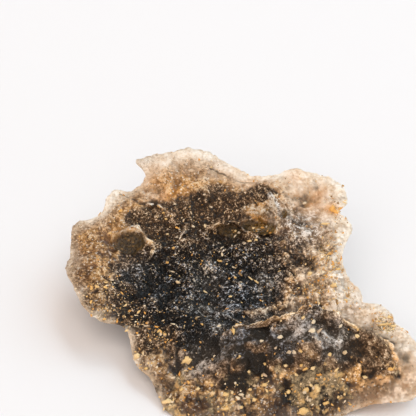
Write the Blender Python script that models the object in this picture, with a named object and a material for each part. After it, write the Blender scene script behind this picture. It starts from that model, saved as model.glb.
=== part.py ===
"""Moldavite: one etched chip of natural glass, lying as it rests on a table.

The chip is a dished flake that rises towards its back, thin all round its broken rim, with a
thick knuckle at its front right. It is built from one block: the block's top face becomes the
upper skin, its bottom face the underside and its side faces the rim. The block is first squared
onto a disc, the disc is carried to the rim's outline, and then the two skins take their heights.
Sizes are in millimetres and are turned to metres at the end.
"""

import bmesh
import bpy
import numpy as np

MM = 0.001
NAME = "moldavite"

# The block: cuts along each side of its top and bottom faces.
GRID = 46

# The rim, walked anticlockwise from the right side: x, y and the height of its middle.
RIM = (
    (10.2, -0.6, 5.5),
    (9.8, 2.0, 6.4),
    (11.0, 5.7, 7.0),
    (9.7, 7.1, 7.5),
    (10.5, 8.2, 7.9),
    (10.1, 10.1, 8.3),
    (8.7, 11.4, 8.7),
    (5.6, 12.1, 8.9),
    (3.4, 11.4, 8.8),
    (1.6, 10.9, 8.8),
    (-0.3, 12.1, 8.9),
    (-2.0, 13.9, 9.0),
    (-3.4, 15.0, 9.0),
    (-6.5, 14.9, 8.8),
    (-9.0, 14.6, 8.5),
    (-10.3, 14.0, 8.3),
    (-9.4, 12.2, 8.0),
    (-10.8, 10.1, 7.6),
    (-11.9, 10.2, 7.4),
    (-13.1, 9.5, 7.1),
    (-13.7, 8.0, 6.6),
    (-14.7, 7.4, 6.3),
    (-16.3, 7.2, 6.0),
    (-16.6, 3.7, 5.0),
    (-16.8, 1.6, 4.5),
    (-16.1, 0.1, 4.2),
    (-15.6, -1.6, 4.0),
    (-14.6, -3.1, 3.6),
    (-13.2, -4.4, 3.3),
    (-11.3, -4.6, 3.0),
    (-10.5, -6.2, 2.5),
    (-10.1, -8.0, 2.0),
    (-8.5, -9.6, 1.6),
    (-7.7, -11.1, 1.2),
    (-6.7, -13.0, 0.5),
    (-4.3, -14.1, 0.4),
    (-1.1, -14.8, 0.4),
    (3.4, -15.0, 0.4),
    (7.1, -14.5, 0.5),
    (9.2, -13.5, 0.8),
    (11.6, -13.2, 1.2),
    (14.3, -13.1, 1.5),
    (16.1, -12.2, 2.0),
    (16.8, -10.2, 2.8),
    (16.6, -8.2, 3.5),
    (15.5, -6.2, 4.0),
    (14.2, -5.2, 4.3),
    (14.1, -4.1, 4.4),
    (13.0, -3.3, 4.6),
    (11.5, -3.2, 4.8),
    (11.2, -1.9, 5.0),
)
RIM_THICKNESS = 0.5
# A point that sees the whole rim, and the rounds of evening out that spread the grid inside it.
CENTRE = np.array([0.0, -3.0])
ROUNDS = 1500
# How far in from the rim the chip takes to fill out, and how far the rim's own heights reach.
FILL = 2.3
REACH = 3.5

# The chip's middle sheet slopes up to the back: its height over the centre, and its slope.
SHEET_HEIGHT = 4.6
SHEET_SLOPE = 0.3

# The knuckle's crest from left to right: x, y, rise over the sheet.
CREST = (
    (-5.0, -7.2, 0.0),
    (-2.6, -7.9, 1.0),
    (-0.7, -8.2, 3.0),
    (1.8, -7.8, 4.1),
    (3.4, -7.9, 4.9),
    (4.8, -7.4, 5.7),
    (6.0, -6.9, 6.1),
    (7.3, -7.3, 5.7),
    (9.0, -7.9, 5.1),
    (10.8, -8.4, 4.4),
    (12.9, -8.8, 3.7),
    (14.2, -9.8, 2.5),
    (15.6, -11.0, 0.6),
    (17.5, -11.5, 0.0),
)
CREST_BACK = 1.9
CREST_FRONT = 5.3

# Dents (negative) and swells of the upper skin: x, y, half length, half width, turn, height.
UPPER = (
    (-1.0, 1.5, 6.5, 4.6, 0.0, -1.15),
    (-10.6, 3.7, 1.7, 1.1, 0.0, -0.75),
    (-10.8, 5.5, 2.2, 0.6, 0.0, 0.35),
    (-8.3, 3.4, 0.55, 1.3, -0.3, 0.4),
    (2.2, 6.6, 1.9, 1.2, 0.1, -0.85),
    (2.6, 8.6, 2.2, 0.55, -0.1, 0.5),
    (-1.4, 5.0, 1.5, 0.8, 0.3, -0.7),
    (-1.6, 6.3, 1.6, 0.4, 0.2, 0.35),
    (4.6, 7.4, 0.7, 2.4, 0.25, 0.5),
    (6.6, 9.2, 2.6, 1.6, 0.3, -0.45),
    (-6.5, 9.8, 3.0, 1.0, 0.35, 0.4),
    (-4.0, 7.6, 2.2, 1.3, 0.2, -0.5),
    (-13.4, 0.8, 1.0, 2.6, 0.2, 0.35),
    (-9.2, -0.6, 2.4, 1.4, 0.4, -0.5),
    (8.6, 1.2, 1.5, 4.4, 0.15, 0.45),
    (3.6, -3.4, 3.0, 1.2, 0.2, -0.6),
    (-4.2, -4.2, 3.2, 1.5, -0.4, 0.6),
    (-3.8, -11.0, 3.4, 2.2, -0.4, 0.7),
    (7.6, -10.9, 2.4, 0.7, -0.2, 0.55),
    (5.2, -12.4, 3.6, 0.7, -0.1, -0.75),
    (11.6, -11.6, 0.7, 1.8, 0.3, -0.5),
    (1.2, -10.6, 0.8, 1.6, -0.4, -0.5),
    (14.6, -7.2, 2.0, 1.2, 0.3, 0.5),
)

# Swells (positive, downwards) and dents of the underside, in the same terms.
LOWER = (
    (0.0, 3.0, 14.0, 12.0, 0.0, 0.55),
    (-2.0, 0.8, 7.6, 4.8, 0.2, 4.2),
    (7.6, -1.4, 3.0, 3.4, 0.0, 5.2),
    (4.5, -11.0, 9.5, 3.4, 0.0, 1.6),
    (12.6, -10.4, 3.6, 2.8, 0.0, 0.9),
    (-8.5, 3.0, 3.6, 2.0, 0.5, 0.9),
    (1.5, 8.6, 5.0, 2.0, -0.1, 0.8),
    (-9.8, 8.6, 2.6, 2.0, 0.6, 0.5),
    (3.4, 4.6, 1.8, 1.2, 0.4, -0.9),
    (-5.4, -6.2, 2.4, 1.4, -0.5, -0.8),
    (6.8, 7.2, 1.6, 1.2, 0.2, -0.6),
)

# How the whole sheet waves: (size, height).
SHEET_WAVES = ((4.6, 0.42), (2.1, 0.24))
# The even roughness of both skins: (size, height) of its lumps and (size, depth) of its pits.
LUMPS = ((5.2, 0.5), (2.4, 0.3))
PITS = ((2.3, 0.5), (1.5, 0.24))
# The broken rim's waves in and out, and how far its thickness varies.
RAGGED = 0.17
RIM_VARIES = 0.45
# How softly the underside flattens where it meets the table, and how much is then cut flat.
REST_SOFTNESS = 0.12
REST_CUT = 0.012
# Where the table cuts the rough belly.
REST_HEIGHT = 0.3


def closed_curve(points, count):
    """A smooth closed curve through the points, cut into equal lengths."""
    steps = np.linspace(0.0, 1.0, 24, endpoint=False)[:, None, None]
    p0 = np.roll(points, 1, axis=0)
    p1 = points
    p2 = np.roll(points, -1, axis=0)
    p3 = np.roll(points, -2, axis=0)
    a = 2.0 * p1
    b = (p2 - p0) * steps
    c = (2.0 * p0 - 5.0 * p1 + 4.0 * p2 - p3) * steps**2
    d = (3.0 * p1 - p0 - 3.0 * p2 + p3) * steps**3
    fine = (0.5 * (a + b + c + d)).transpose(1, 0, 2).reshape(-1, 3)
    ends = np.vstack([fine, fine[:1]])
    along = np.concatenate([[0.0], np.cumsum(np.linalg.norm(np.diff(ends, axis=0), axis=1))])
    wanted = np.linspace(0.0, along[-1], count, endpoint=False)
    return np.stack([np.interp(wanted, along, ends[:, i]) for i in range(3)], axis=1)


def square_border(count):
    """The grid indices of a square's border cells, anticlockwise from the middle of its right."""
    low = np.arange(count)
    last = np.full(count, count)
    none = np.zeros(count, dtype=int)
    i = np.concatenate([last, count - low, none, low])
    j = np.concatenate([low, last, count - low, none])
    return np.roll(i, -(count // 2)), np.roll(j, -(count // 2))


def grid_inside(rim, count):
    """A square grid of points spread evenly inside the rim, its border on the rim."""
    i, j = square_border(count)
    grid = np.zeros((count + 1, count + 1, 2))
    half = count / 2.0
    rows, columns = np.indices((count + 1, count + 1)) - half
    radius = np.maximum(np.abs(rows), np.abs(columns)) / half
    safe = np.maximum(radius, 1e-9)
    border_x = np.rint(rows / safe + half).astype(int)
    border_y = np.rint(columns / safe + half).astype(int)
    grid[i, j] = rim - CENTRE
    grid = grid[border_x, border_y] * radius[..., None]
    for _ in range(ROUNDS):
        east = grid[2:, 1:-1]
        west = grid[:-2, 1:-1]
        north = grid[1:-1, 2:]
        south = grid[1:-1, :-2]
        across = 0.5 * (east - west)
        along = 0.5 * (north - south)
        a = (along**2).sum(axis=-1, keepdims=True)
        b = (across * along).sum(axis=-1, keepdims=True)
        c = (across**2).sum(axis=-1, keepdims=True)
        skew = grid[2:, 2:] - grid[2:, :-2] - grid[:-2, 2:] + grid[:-2, :-2]
        even = a * (east + west) + c * (north + south) - 0.5 * b * skew
        grid[1:-1, 1:-1] = even / (2.0 * (a + c))
    return grid + CENTRE


def dents(x, y, table):
    """The sum of the table's rounded dents and swells."""
    total = np.zeros_like(x)
    for cx, cy, length, width, turn, height in table:
        along = (x - cx) * np.cos(turn) + (y - cy) * np.sin(turn)
        across = (y - cy) * np.cos(turn) - (x - cx) * np.sin(turn)
        total += height * np.exp(-((along / length) ** 2) - (across / width) ** 2)
    return total


def crest(x, y):
    """The knuckle's rise: a ridge that drops steeply behind and gently in front."""
    line = np.array(CREST)
    middle = np.interp(x, line[:, 0], line[:, 1])
    rise = np.interp(x, line[:, 0], line[:, 2])
    past = y - middle
    back = np.exp(-((np.maximum(past, 0.0) / CREST_BACK) ** 2))
    front = np.exp(-((np.maximum(-past, 0.0) / CREST_FRONT) ** 3.0))
    return rise * back * front


def lumps(points, size, seed):
    """Smooth random lumps of this size all through space, from -1 to 1."""
    table = np.random.RandomState(seed).uniform(-1.0, 1.0, (32, 32, 32))
    place = points / size + 16.37
    cell = np.floor(place).astype(int)
    part = place - cell
    part = part * part * (3.0 - 2.0 * part)
    total = np.zeros(len(points))
    for corner in np.ndindex(2, 2, 2):
        corner = np.array(corner)
        share = np.prod(np.where(corner, part, 1.0 - part), axis=1)
        index = (cell + corner) % 32
        total += share * table[index[:, 0], index[:, 1], index[:, 2]]
    return total


def pits(points, size, seed):
    """Round etched pits, one to a cell of this size: 1 at a pit's floor and 0 between pits."""
    source = np.random.RandomState(seed)
    shift = source.uniform(0.1, 0.9, (32, 32, 32, 3))
    reach = source.uniform(0.5, 0.95, (32, 32, 32))
    place = points / size + 16.19
    cell = np.floor(place).astype(int)
    depth = np.zeros(len(points))
    for step in np.ndindex(3, 3, 3):
        other = cell + np.array(step) - 1
        key = tuple((other % 32).T)
        away = np.linalg.norm(other + shift[key] - place, axis=1)
        bowl = np.clip(1.0 - (away / reach[key]) ** 2, 0.0, 1.0)
        depth = np.maximum(depth, bowl * reach[key])
    return depth


def rim_waves(turn, count, seed):
    """Random waves along the rim, this many to the round, from -1 to 1."""
    table = np.random.RandomState(seed).uniform(-1.0, 1.0, count)
    place = (turn % 1.0) * count
    cell = np.floor(place).astype(int)
    part = place - cell
    part = part * part * (3.0 - 2.0 * part)
    return table[cell % count] * (1.0 - part) + table[(cell + 1) % count] * part


def broken_rim(count):
    """The rim as this many points of x, y and height, and its thickness at each."""
    rim = closed_curve(np.array(RIM), count)
    turn = np.arange(count) / count
    outward = rim[:, :2] - CENTRE
    outward /= np.linalg.norm(outward, axis=1)[:, None]
    waves = rim_waves(turn, 41, 133) + 0.6 * rim_waves(turn, 83, 233)
    rim[:, :2] += RAGGED * outward * waves[:, None]
    rim[:, 2] += 0.25 * rim_waves(turn, 29, 23)
    return rim, RIM_THICKNESS * (1.0 + RIM_VARIES * rim_waves(turn, 37, 24))


def skins(x, y):
    """The heights of the upper skin and the underside over these places, and the way to the rim."""
    rim, rim_thickness = broken_rim(640)
    lift = rim[:, 2] - SHEET_HEIGHT - SHEET_SLOPE * rim[:, 1]
    away = np.hypot(x[:, None] - rim[:, 0], y[:, None] - rim[:, 1])
    way = away.min(axis=1)
    share = 1.0 / (away**2 + 0.02) ** 1.5
    share /= share.sum(axis=1)[:, None]
    lift = (share * lift).sum(axis=1) * np.exp(-((way / REACH) ** 1.5))
    half = 0.5 * (share * rim_thickness).sum(axis=1)
    sheet = SHEET_HEIGHT + SHEET_SLOPE * y + lift
    flat = np.column_stack([x, y, np.zeros(len(x))])
    for number, (size, height) in enumerate(SHEET_WAVES):
        sheet += height * lumps(flat, size, 51 + number)
    fill = FILL * (1.0 + 0.45 * lumps(flat, 3.8, 53))
    inside = 1.0 - np.exp(-((way / fill) ** 1.3))
    top = sheet + half + (0.5 + dents(x, y, UPPER) + crest(x, y)) * inside
    bottom = sheet - half - (0.4 + dents(x, y, LOWER)) * inside
    return np.maximum(top, bottom + 0.4), bottom, way


def roughened(points, normals, thickness, way):
    """The points moved along their normals by the skin's lumps and pits, less where it is thin."""
    depth = np.zeros(len(points))
    for number, (size, height) in enumerate(LUMPS):
        depth += height * lumps(points, size, 31 + number)
    for number, (size, height) in enumerate(PITS):
        depth -= height * pits(points, size, 41 + number)
    share = np.clip(thickness / 3.2, 0.0, 1.4) * (1.0 - np.exp(-way / 0.6))
    return points + normals * (depth * share)[:, None]


def flattened(height):
    """Heights near or under the table brought up to it, so that the belly rests on flats."""
    soft = REST_SOFTNESS * np.logaddexp(0.0, height / REST_SOFTNESS)
    return np.maximum(soft - REST_CUT, 0.0)


def block():
    """A box whose top and bottom faces are cut into a square grid."""
    bm = bmesh.new()
    bmesh.ops.create_cube(bm, size=2.0)
    edges = [e for e in bm.edges if abs(e.verts[0].co.z - e.verts[1].co.z) < 0.5]
    bmesh.ops.subdivide_edges(bm, edges=edges, cuts=GRID - 1, use_grid_fill=True)
    return bm


def place(bm, points):
    for vertex, spot in zip(bm.verts, points):
        vertex.co = spot


def chip():
    """The block turned into the chip, in metres, standing on the origin."""
    bm = block()
    points = np.array([v.co[:] for v in bm.verts])
    grid = grid_inside(broken_rim(4 * GRID)[0][:, :2], GRID)
    cells = np.rint((points[:, :2] + 1.0) * 0.5 * GRID).astype(int)
    flat = grid[cells[:, 0], cells[:, 1]]
    top, bottom, way = skins(flat[:, 0], flat[:, 1])
    shape = np.column_stack([flat, np.where(points[:, 2] > 0, top, bottom)])
    place(bm, shape)
    bmesh.ops.recalc_face_normals(bm, faces=bm.faces)
    bm.normal_update()
    normals = np.array([v.normal[:] for v in bm.verts])
    shape = roughened(shape, normals, top - bottom, way)
    shape[:, 2] = flattened(shape[:, 2] - REST_HEIGHT)
    low = shape.min(axis=0)
    high = shape.max(axis=0)
    origin = np.array([(low[0] + high[0]) / 2, (low[1] + high[1]) / 2, low[2]])
    place(bm, (shape - origin) * MM)
    mesh = bpy.data.meshes.new(NAME)
    bm.to_mesh(mesh)
    bm.free()
    return mesh


def glass():
    """Clear smoky glass."""
    material = bpy.data.materials.new("moldavite_glass")
    material.use_nodes = True
    shader = material.node_tree.nodes["Principled BSDF"]
    shader.inputs["Base Color"].default_value = (0.24, 0.19, 0.14, 1.0)
    shader.inputs["Transmission Weight"].default_value = 1.0
    shader.inputs["Roughness"].default_value = 0.15
    shader.inputs["IOR"].default_value = 1.49
    return material


def main():
    for thing in list(bpy.data.objects):
        bpy.data.objects.remove(thing, do_unlink=True)
    home = bpy.data.collections.new(NAME)
    bpy.context.scene.collection.children.link(home)
    stone = bpy.data.objects.new(NAME, chip())
    stone.data.materials.append(glass())
    home.objects.link(stone)


main()
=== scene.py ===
"""A moldavite: a dished chip of smoky natural glass with soil in its pits, on a white table.

Sizes are in millimetres until a mesh is made. The stone is worked out in the same way as its
solid, on a finer grid, and its skin then gets the finer pits and wrinkles of natural etching.
"""

import bpy
import numpy as np
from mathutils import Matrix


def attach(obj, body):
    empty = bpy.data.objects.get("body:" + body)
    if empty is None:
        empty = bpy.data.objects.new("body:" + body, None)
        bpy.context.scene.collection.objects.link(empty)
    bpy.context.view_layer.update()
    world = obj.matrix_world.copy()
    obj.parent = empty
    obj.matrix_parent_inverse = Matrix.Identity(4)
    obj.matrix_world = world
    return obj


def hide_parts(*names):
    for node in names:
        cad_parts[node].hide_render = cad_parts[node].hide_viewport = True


MM = 0.001
# Where the middle of the finished stone lies in the plan that the rim is drawn in.
MIDDLE = np.array([0.04587161, 0.07582345, 0.0])
# In how many batches the skins' heights are worked out, to save memory.
BATCHES = 24
# Cells along each side of the first grid and of the upper skin's; the underside has half as many
# as the upper skin. Then the rows of points that round the rim between the two.
COARSE = 34
FINE = 272
RIM_ROWS = 3

# The rim, walked anticlockwise from the right side: x, y and the height of its middle.
RIM = (
    (10.2, -0.6, 5.5), (9.8, 2.0, 6.4), (11.0, 5.7, 7.0), (9.7, 7.1, 7.5), (10.5, 8.2, 7.9),
    (10.1, 10.1, 8.3), (8.7, 11.4, 8.7), (5.6, 12.1, 8.9), (3.4, 11.4, 8.8), (1.6, 10.9, 8.8),
    (-0.3, 12.1, 8.9), (-2.0, 13.9, 9.0), (-3.4, 15.0, 9.0), (-6.5, 14.9, 8.8), (-9.0, 14.6, 8.5),
    (-10.3, 14.0, 8.3), (-9.4, 12.2, 8.0), (-10.8, 10.1, 7.6), (-11.9, 10.2, 7.4),
    (-13.1, 9.5, 7.1), (-13.7, 8.0, 6.6), (-14.7, 7.4, 6.3), (-16.3, 7.2, 6.0), (-16.6, 3.7, 5.0),
    (-16.8, 1.6, 4.5), (-16.1, 0.1, 4.2), (-15.6, -1.6, 4.0), (-14.6, -3.1, 3.6),
    (-13.2, -4.4, 3.3), (-11.3, -4.6, 3.0), (-10.5, -6.2, 2.5), (-10.1, -8.0, 2.0),
    (-8.5, -9.6, 1.6), (-7.7, -11.1, 1.2), (-6.7, -13.0, 0.5), (-4.3, -14.1, 0.4),
    (-1.1, -14.8, 0.4), (3.4, -15.0, 0.4), (7.1, -14.5, 0.5), (9.2, -13.5, 0.8), (11.6, -13.2, 1.2),
    (14.3, -13.1, 1.5), (16.1, -12.2, 2.0), (16.8, -10.2, 2.8), (16.6, -8.2, 3.5),
    (15.5, -6.2, 4.0), (14.2, -5.2, 4.3), (14.1, -4.1, 4.4), (13.0, -3.3, 4.6), (11.5, -3.2, 4.8),
    (11.2, -1.9, 5.0),
)
# Its thickness, and how many of its points the skins near it are worked out from.
RIM_THICKNESS = 0.5
RIM_SAMPLES = 640
# A point that sees the whole rim, and the rounds of evening out that spread the grid inside it:
# the first grid, and each finer one.
CENTRE = np.array([0.0, -3.0])
ROUNDS = 1500
FINER_ROUNDS = 160
# How far in from the rim the chip takes to fill out, how far the rim's own heights reach, and
# how much the filled chip swells over and under its sheet.
FILL = 2.3
REACH = 3.5
OVER = 0.5
UNDER = 0.4

# The chip's middle sheet slopes up to the back: its height over the centre, and its slope.
SHEET_HEIGHT = 4.6
SHEET_SLOPE = 0.3

# The knuckle's crest from left to right: x, y, rise over the sheet.
CREST = (
    (-5.0, -7.2, 0.0), (-2.6, -7.9, 1.0), (-0.7, -8.2, 3.0), (1.8, -7.8, 4.1), (3.4, -7.9, 4.9),
    (4.8, -7.4, 5.7), (6.0, -6.9, 6.1), (7.3, -7.3, 5.7), (9.0, -7.9, 5.1), (10.8, -8.4, 4.4),
    (12.9, -8.8, 3.7), (14.2, -9.8, 2.5), (15.6, -11.0, 0.6), (17.5, -11.5, 0.0),
)
CREST_BACK = 1.9
CREST_FRONT = 5.3

# Dents (negative) and swells of the upper skin: x, y, half length, half width, turn, height.
UPPER = (
    (-1.0, 1.5, 6.5, 4.6, 0.0, -1.15), (-10.6, 3.7, 1.7, 1.1, 0.0, -0.75),
    (-10.8, 5.5, 2.2, 0.6, 0.0, 0.35), (-8.3, 3.4, 0.55, 1.3, -0.3, 0.4),
    (2.2, 6.6, 1.9, 1.2, 0.1, -0.85), (2.6, 8.6, 2.2, 0.55, -0.1, 0.5),
    (-1.4, 5.0, 1.5, 0.8, 0.3, -0.7), (-1.6, 6.3, 1.6, 0.4, 0.2, 0.35),
    (4.6, 7.4, 0.7, 2.4, 0.25, 0.5), (6.6, 9.2, 2.6, 1.6, 0.3, -0.45),
    (-6.5, 9.8, 3.0, 1.0, 0.35, 0.4), (-4.0, 7.6, 2.2, 1.3, 0.2, -0.5),
    (-13.4, 0.8, 1.0, 2.6, 0.2, 0.35), (-9.2, -0.6, 2.4, 1.4, 0.4, -0.5),
    (8.6, 1.2, 1.5, 4.4, 0.15, 0.45), (3.6, -3.4, 3.0, 1.2, 0.2, -0.6),
    (-4.2, -4.2, 3.2, 1.5, -0.4, 0.6), (-3.8, -11.0, 3.4, 2.2, -0.4, 0.7),
    (7.6, -10.9, 2.4, 0.7, -0.2, 0.55), (5.2, -12.4, 3.6, 0.7, -0.1, -0.75),
    (11.6, -11.6, 0.7, 1.8, 0.3, -0.5), (1.2, -10.6, 0.8, 1.6, -0.4, -0.5),
    (14.6, -7.2, 2.0, 1.2, 0.3, 0.5),
)

# Swells (positive, downwards) and dents of the underside, in the same terms.
LOWER = (
    (0.0, 3.0, 14.0, 12.0, 0.0, 0.55), (-2.0, 0.8, 7.6, 4.8, 0.2, 4.2),
    (7.6, -1.4, 3.0, 3.4, 0.0, 5.2), (4.5, -11.0, 9.5, 3.4, 0.0, 1.6),
    (12.6, -10.4, 3.6, 2.8, 0.0, 0.9), (-8.5, 3.0, 3.6, 2.0, 0.5, 0.9),
    (1.5, 8.6, 5.0, 2.0, -0.1, 0.8), (-9.8, 8.6, 2.6, 2.0, 0.6, 0.5),
    (3.4, 4.6, 1.8, 1.2, 0.4, -0.9), (-5.4, -6.2, 2.4, 1.4, -0.5, -0.8),
    (6.8, 7.2, 1.6, 1.2, 0.2, -0.6),
)

# How the whole sheet waves: (size, height).
SHEET_WAVES = ((4.6, 0.42), (2.1, 0.24))
# The even roughness of both skins: (size, height) of its lumps and (size, depth) of its pits.
LUMPS = ((5.2, 0.5), (2.4, 0.3))
PITS = ((2.3, 0.5), (1.5, 0.24))
# The thickness at which those heights hold; thinner glass is smoother and thicker glass rougher.
THICK = 3.2
# Random tables repeat after this many cells, and their cells don't start at the plan's middle.
BLOCK = 32
LUMPS_START = 16.37
PITS_START = 16.19
# The broken rim's depth of waves in and out, each wave's share, count to the round and seed, and
# how far the rim's thickness varies.
RAGGED = 0.17
RAGGED_WAVES = ((1.0, 41, 133), (0.6, 83, 233))
RIM_VARIES = 0.45
# How softly the underside flattens where it meets the table, and how much is then cut flat.
REST_SOFTNESS = 0.12
REST_CUT = 0.012
# Where the table cuts the rough belly.
REST_HEIGHT = 0.3
# The finer etching: (size, depth) of its pits and (size, height) of its lumps.
FINE_PITS = ((1.0, 0.17), (0.56, 0.13), (0.34, 0.09))
FINE_LUMPS = ((0.8, 0.1), (0.32, 0.06))
# Narrow creases that net the skin: (size, depth), and how narrow they are.
CREASES = ((1.5, 0.2), (0.75, 0.12))
CREASE_WIDTH = 0.13
# Ribs and cracks of the upper skin: half width, height, paleness, whiteness (partly etched white,
# partly painted highlight on crests), and the line.
RIBS = (
    (0.28, 0.3, 0.9, 0.1, ((-10.1, 5.3), (-9.3, 4.9), (-8.7, 4.2), (-8.4, 3.4), (-8.6, 2.7))),
    (0.24, 0.2, 0.8, 0.0, ((-12.4, 5.0), (-11.5, 5.2), (-10.6, 5.4), (-9.9, 5.2))),
    (0.2, 0.4, 0.2, 1.0, ((2.9, 8.5), (3.1, 8.2), (3.4, 7.8), (3.7, 7.4))),
    (0.4, 0.2, 1.0, 0.0, ((0.4, 7.5), (1.6, 7.35), (2.6, 7.3))),
    (0.42, 0.35, 1.0, 0.3, ((3.2, 7.6), (3.4, 7.1), (3.55, 6.4), (3.4, 5.6))),
    (0.3, 0.2, 0.0, 0.6, ((3.8, 6.7), (4.5, 6.1), (5.2, 5.6), (6.0, 5.2))),
    (0.12, 0.08, 0.6, 0.0, ((-2.5, 6.1), (-1.8, 6.5), (-0.9, 6.5), (-0.2, 6.3))),
    (0.16, 0.1, 0.7, 0.1, ((-9.2, 8.5), (-8.3, 8.3), (-7.7, 7.7))),
    (0.16, 0.2, 0.5, 0.1, ((-5.2, 6.4), (-5.4, 5.8), (-5.9, 4.5))),
    (0.22, 0.3, 0.8, 0.0, ((-0.6, -6.9), (1.2, -6.7), (3.0, -5.6), (4.8, -4.4))),
    (0.3, 0.25, 0.0, 0.25, ((4.6, -9.0), (6.2, -9.4), (7.6, -9.6), (9.0, -10.0))),
    (0.24, 0.25, 0.0, 0.0, ((-6.3, 1.2), (-5.6, 0.2), (-4.6, -0.2), (-3.4, -1.2))),
    (0.26, 0.25, 0.1, 0.3, ((-3.4, -2.4), (-2.2, -3.6), (-1.0, -4.2), (0.2, -5.4))),
    (0.14, 0.15, 0.6, 0.1, ((4.5, 1.1), (4.8, 0.6), (5.2, -0.1))),
    (0.1, -0.15, -0.75, 0.0, ((-2.9, 12.6), (-1.9, 11.8), (-0.9, 10.9), (0.0, 10.5), (1.3, 10.4))),
    (0.14, -0.15, -0.5, 0.0, ((4.6, 6.9), (5.6, 6.2), (6.9, 6.0), (8.2, 5.4))),
    (0.14, -0.15, -0.6, 0.0, ((-11.9, 9.6), (-10.6, 9.2), (-9.8, 8.4), (-8.6, 8.8))),
)
# How far ribs and pools stray from their lines: the (size, distance) of lumps.
SWAY = ((1.3, 0.2), (0.6, 0.14))
# Smooth-floored hollows of the upper skin: x, y, half length, half width, turn, depth, smoothness.
POOLS = (
    (-10.8, 4.3, 1.5, 0.75, -0.05, 0.4, 1.0), (1.8, 6.15, 1.35, 0.62, 0.0, 0.6, 1.0),
    (-1.1, 5.8, 1.0, 0.34, -0.05, 0.06, 0.4), (4.25, 6.95, 0.2, 0.3, 0.0, 0.25, 1.0),
)
# How far round a point its neighbours are averaged, in cells, and how far below them counts as
# fully sunken; sunken places are painted darker and raised ones lighter, a painted shade and light
# of the relief.
SUNKEN_REACH = 8
SUNKEN_DEPTH = 0.3
# How thin the glass is before its etching fades out, and the least it is before it is etched.
THINNEST = 0.3
LEAST = 0.4
# The share of its thickness that each skin draws in at the feathered rim, how far in that reaches,
# and the rim's fine nibbles: their depth and their waves.
FEATHER = 0.33
FEATHER_REACH = 0.55
NIBBLES = 0.12
NIBBLE_WAVES = ((1.0, 151, 141), (0.7, 331, 142), (0.5, 541, 143))
# How far the rim's own rows bulge out, as a share of its thickness, and how pitted they are.
RIM_BULGE = 0.22
RIM_HOLLOW = 0.3
# How many grains of soil are strewn over the stone, and how many bigger clods cling before this y.
GRAINS = 2000
CLODS = 70
CLODS_BEFORE = -7.5
# The half widths in between which grains and clods lie.
GRAIN_SIZES = (0.035, 0.145)
CLOD_SIZES = (0.05, 0.15)
# The y where the coarser skin of the front begins, and how far on it is fully there.
FRONT = -6.0
FRONT_REACH = 3.0
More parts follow.
